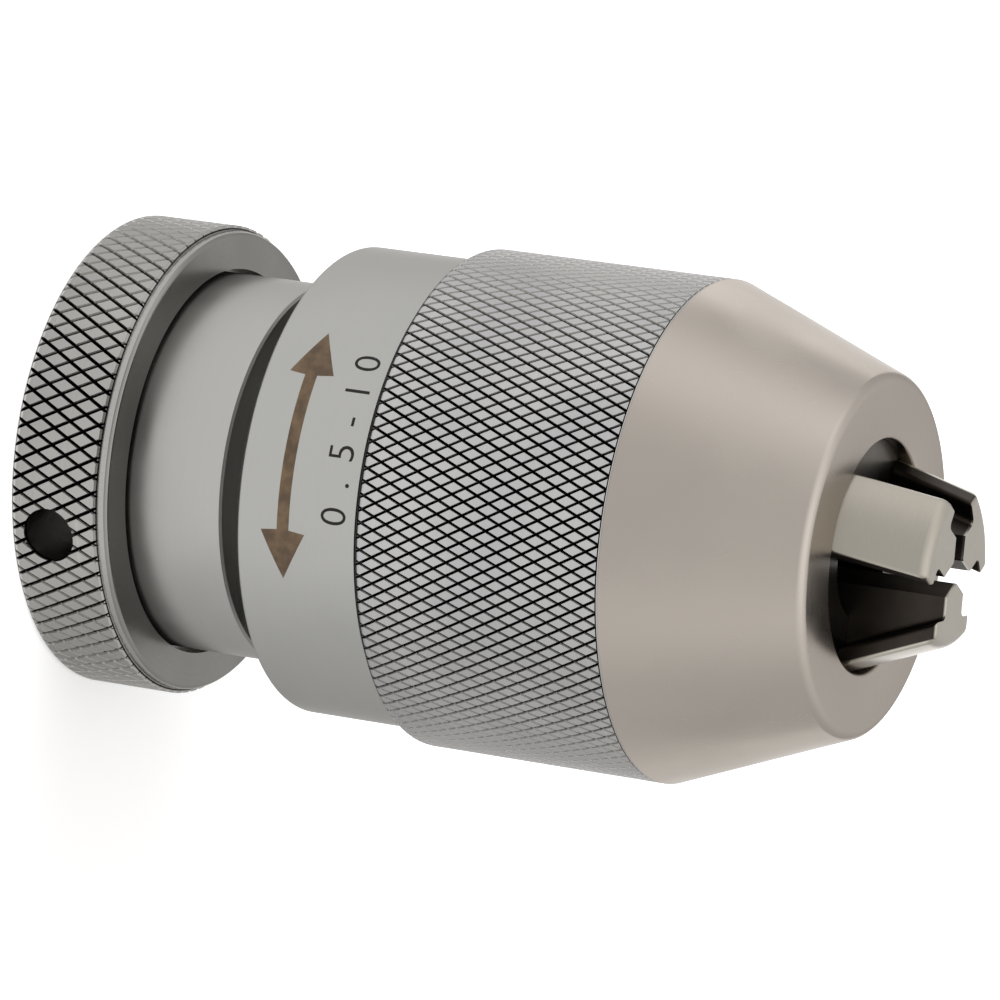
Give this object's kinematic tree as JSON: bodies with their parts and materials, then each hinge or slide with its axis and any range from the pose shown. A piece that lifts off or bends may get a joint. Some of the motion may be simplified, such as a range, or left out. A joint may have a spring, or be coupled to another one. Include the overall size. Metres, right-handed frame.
{
  "type": "drill chuck",
  "caption": "Keyless drill chuck with a knurled hood and spanner ring, a smooth sleeve, a tapered nose with sliding T-shaped jaws, and a taper socket in its rear face.",
  "frame": {"origin": "centre of the rear face, on the chuck axis; the chuck stands on that face", "axes": "+Z along the chuck axis towards the jaws; +X points through the middle of jaw_1"},
  "size_m": [0.043, 0.043, 0.0788],
  "materials": {
    "hood_steel": "knurled grip with flat lands, polished cone and mirror-ground nose",
    "sleeve_steel": "fine-ground satin steel with laser marking",
    "ring_steel": "knurled and turned steel",
    "body_steel": "ground steel",
    "guide_steel": "hardened steel, ground face",
    "jaw_steel": "hardened and ground steel, warm grey",
    "inner_steel": "turned steel, oiled",
    "bearing_steel": "polished bearing steel",
    "cage_brass": "machined brass",
    "black_screw": "black oxide"
  },
  "bodies": {
    "body": {"chuck_body": "body_steel", "spanner_ring": "ring_steel", "thrust_nut": "inner_steel", "lock_screw": "black_screw", "front_race": "bearing_steel"},
    "hood": {"hood": "hood_steel", "sleeve": "sleeve_steel", "jaw_guide": "guide_steel", "guide_pins": "bearing_steel", "rear_race": "bearing_steel"},
    "bearing": {"ball_cage": "cage_brass", "ball_01": "bearing_steel", "ball_02": "bearing_steel", "ball_03": "bearing_steel", "ball_04": "bearing_steel", "ball_05": "bearing_steel", "ball_06": "bearing_steel", "ball_07": "bearing_steel", "ball_08": "bearing_steel", "ball_09": "bearing_steel", "ball_10": "bearing_steel", "ball_11": "bearing_steel", "ball_12": "bearing_steel", "ball_13": "bearing_steel", "ball_14": "bearing_steel", "ball_15": "bearing_steel", "ball_16": "bearing_steel", "ball_17": "bearing_steel", "ball_18": "bearing_steel", "ball_19": "bearing_steel", "ball_20": "bearing_steel"},
    "spindle": {"spindle": "inner_steel"},
    "jaw_1": {"jaw_1": "jaw_steel"},
    "jaw_2": {"jaw_2": "jaw_steel"},
    "jaw_3": {"jaw_3": "jaw_steel"}
  },
  "joints": [
    {"name": "sleeve_turn", "type": "hinge", "parent": "body", "child": "hood", "pos_m": [0, 0, 0.045], "axis": [0, 0, 1], "range_deg": [-417.6, 1396.8]},
    {"name": "bearing_turn", "type": "hinge", "parent": "body", "child": "bearing", "pos_m": [0, 0, 0.028], "axis": [0, 0, 1], "range_deg": [-209.8, 699.4]},
    {"name": "spindle_feed", "type": "slide", "parent": "hood", "child": "spindle", "axis": [0, 0, 1], "range_m": [-0.00972, 0.00292]},
    {"name": "jaw_1_slide", "type": "slide", "parent": "hood", "child": "jaw_1", "axis": [-0.3616, 0, 0.9323], "range_m": [-0.01043, 0.00313]},
    {"name": "jaw_2_slide", "type": "slide", "parent": "hood", "child": "jaw_2", "axis": [0.1808, -0.3132, 0.9323], "range_m": [-0.01043, 0.00313]},
    {"name": "jaw_3_slide", "type": "slide", "parent": "hood", "child": "jaw_3", "axis": [0.1808, 0.3132, 0.9323], "range_m": [-0.01043, 0.00313]}
  ],
  "couplings": [
    {"joint": "bearing_turn", "follows": "sleeve_turn", "ratio": 0.5},
    {"joint": "spindle_feed", "follows": "sleeve_turn", "m_per_rad": -0.00039789},
    {"joint": "jaw_1_slide", "follows": "sleeve_turn", "m_per_rad": -0.00042677},
    {"joint": "jaw_2_slide", "follows": "sleeve_turn", "m_per_rad": -0.00042677},
    {"joint": "jaw_3_slide", "follows": "sleeve_turn", "m_per_rad": -0.00042677}
  ]
}
